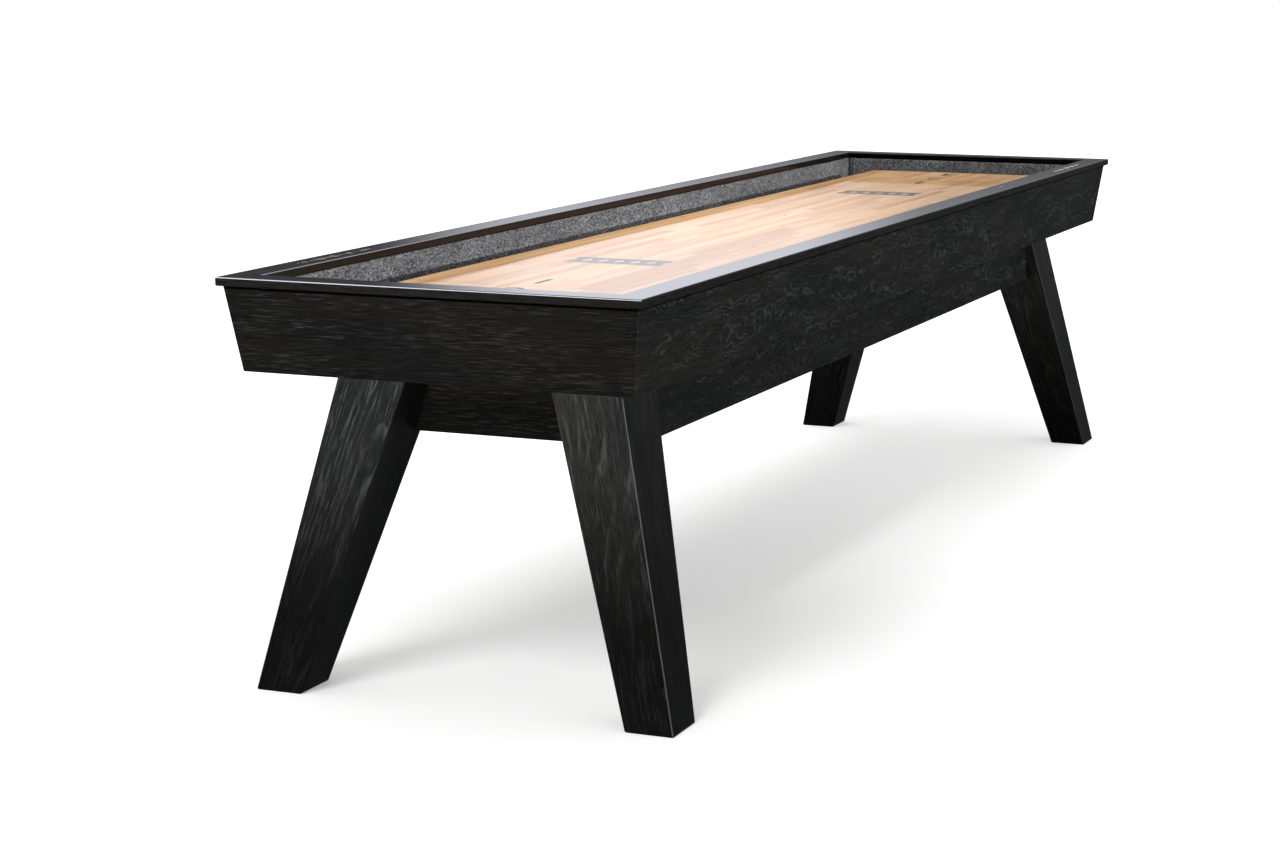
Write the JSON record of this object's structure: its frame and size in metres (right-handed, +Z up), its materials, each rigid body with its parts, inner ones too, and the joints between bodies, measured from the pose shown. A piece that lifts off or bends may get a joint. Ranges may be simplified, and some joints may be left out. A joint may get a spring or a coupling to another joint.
{
  "type": "shuffleboard table",
  "caption": "Long black-stained shuffleboard table: hopper-shaped cabinet with felt-lined gutters around a raised maple playfield, on splayed tapered legs.",
  "frame": {"origin": "on the floor under the middle of the table", "axes": "+X along the table towards its right end, +Y towards its back, +Z up"},
  "size_m": [3.658, 0.862, 0.813],
  "materials": {
    "stained_wood": "black stain over open-grain hardwood, satin",
    "rail_wood": "black stain with a satin lacquer",
    "maple_block": "clear gloss coat over a laminated maple block",
    "plywood": "unfinished plywood",
    "dowel_wood": "unfinished hardwood",
    "wall_felt": "charcoal felt with light flecks",
    "gutter_carpet": "charcoal carpet",
    "brass": "satin brass",
    "zinc_steel": "zinc-plated steel",
    "black_steel": "black powder coat",
    "leveller_pad": "black moulded nylon"
  },
  "bodies": {
    "table": {"front_top_rail": "rail_wood", "back_top_rail": "rail_wood", "left_top_rail": "rail_wood", "right_top_rail": "rail_wood", "front_rail_inlay": "brass", "back_rail_inlay": "brass", "rail_battens": "plywood", "rail_screws": "zinc_steel", "front_panel": "stained_wood", "back_panel": "stained_wood", "left_end_panel": "stained_wood", "right_end_panel": "stained_wood", "front_gutter_wall": "plywood", "back_gutter_wall": "plywood", "left_gutter_wall": "plywood", "right_gutter_wall": "plywood", "front_wall_felt": "wall_felt", "back_wall_felt": "wall_felt", "left_wall_felt": "wall_felt", "right_wall_felt": "wall_felt", "front_gutter_carpet": "gutter_carpet", "back_gutter_carpet": "gutter_carpet", "left_gutter_carpet": "gutter_carpet", "right_gutter_carpet": "gutter_carpet", "cabinet_floor": "plywood", "front_cradle_runner": "plywood", "back_cradle_runner": "plywood", "cradle_bearers": "plywood", "playfield": "maple_block", "playfield_bolts": "zinc_steel", "adjuster_brackets": "black_steel", "adjuster_bracket_screws": "zinc_steel", "adjuster_rods": "zinc_steel", "adjuster_nuts": "zinc_steel", "front_apron": "stained_wood", "back_apron": "stained_wood", "left_end_apron": "stained_wood", "right_end_apron": "stained_wood", "apron_dowels": "dowel_wood", "apron_brackets": "black_steel", "apron_bracket_screws": "zinc_steel", "front_left_leg": "stained_wood", "front_right_leg": "stained_wood", "back_left_leg": "stained_wood", "back_right_leg": "stained_wood", "leg_studs": "zinc_steel", "leg_washers": "zinc_steel", "leg_nuts": "zinc_steel", "leveller_inserts": "zinc_steel"},
    "left_turnbuckle": {"left_turnbuckle": "black_steel"},
    "middle_turnbuckle": {"middle_turnbuckle": "black_steel"},
    "right_turnbuckle": {"right_turnbuckle": "black_steel"},
    "front_left_pad": {"front_left_pad": "leveller_pad"},
    "front_left_stem": {"front_left_stem": "zinc_steel"},
    "front_right_pad": {"front_right_pad": "leveller_pad"},
    "front_right_stem": {"front_right_stem": "zinc_steel"},
    "back_left_pad": {"back_left_pad": "leveller_pad"},
    "back_left_stem": {"back_left_stem": "zinc_steel"},
    "back_right_pad": {"back_right_pad": "leveller_pad"},
    "back_right_stem": {"back_right_stem": "zinc_steel"}
  },
  "joints": [
    {"name": "left_turnbuckle_turn", "type": "hinge", "parent": "table", "child": "left_turnbuckle", "pos_m": [-1.08, 0, 0.695], "axis": [0, 1, 0], "range_deg": [-720, 720]},
    {"name": "middle_turnbuckle_turn", "type": "hinge", "parent": "table", "child": "middle_turnbuckle", "pos_m": [0, 0, 0.695], "axis": [0, 1, 0], "range_deg": [-720, 720]},
    {"name": "right_turnbuckle_turn", "type": "hinge", "parent": "table", "child": "right_turnbuckle", "pos_m": [1.08, 0, 0.695], "axis": [0, 1, 0], "range_deg": [-720, 720]},
    {"name": "front_left_leveller_drop", "type": "slide", "parent": "table", "child": "front_left_pad", "axis": [0, 0, -1], "range_m": [0, 0.015]},
    {"name": "front_left_leveller_turn", "type": "hinge", "parent": "front_left_pad", "child": "front_left_stem", "pos_m": [-1.636, -0.3825, 0.03], "axis": [0, 0, 1], "range_deg": [0, 3600]},
    {"name": "front_right_leveller_drop", "type": "slide", "parent": "table", "child": "front_right_pad", "axis": [0, 0, -1], "range_m": [0, 0.015]},
    {"name": "front_right_leveller_turn", "type": "hinge", "parent": "front_right_pad", "child": "front_right_stem", "pos_m": [1.636, -0.3825, 0.03], "axis": [0, 0, 1], "range_deg": [0, 3600]},
    {"name": "back_left_leveller_drop", "type": "slide", "parent": "table", "child": "back_left_pad", "axis": [0, 0, -1], "range_m": [0, 0.015]},
    {"name": "back_left_leveller_turn", "type": "hinge", "parent": "back_left_pad", "child": "back_left_stem", "pos_m": [-1.636, 0.3825, 0.03], "axis": [0, 0, 1], "range_deg": [0, 3600]},
    {"name": "back_right_leveller_drop", "type": "slide", "parent": "table", "child": "back_right_pad", "axis": [0, 0, -1], "range_m": [0, 0.015]},
    {"name": "back_right_leveller_turn", "type": "hinge", "parent": "back_right_pad", "child": "back_right_stem", "pos_m": [1.636, 0.3825, 0.03], "axis": [0, 0, 1], "range_deg": [0, 3600]}
  ],
  "couplings": [
    {"joint": "front_left_leveller_turn", "follows": "front_left_leveller_drop", "rad_per_m": 4188.8},
    {"joint": "front_right_leveller_turn", "follows": "front_right_leveller_drop", "rad_per_m": 4188.8},
    {"joint": "back_left_leveller_turn", "follows": "back_left_leveller_drop", "rad_per_m": 4188.8},
    {"joint": "back_right_leveller_turn", "follows": "back_right_leveller_drop", "rad_per_m": 4188.8}
  ]
}
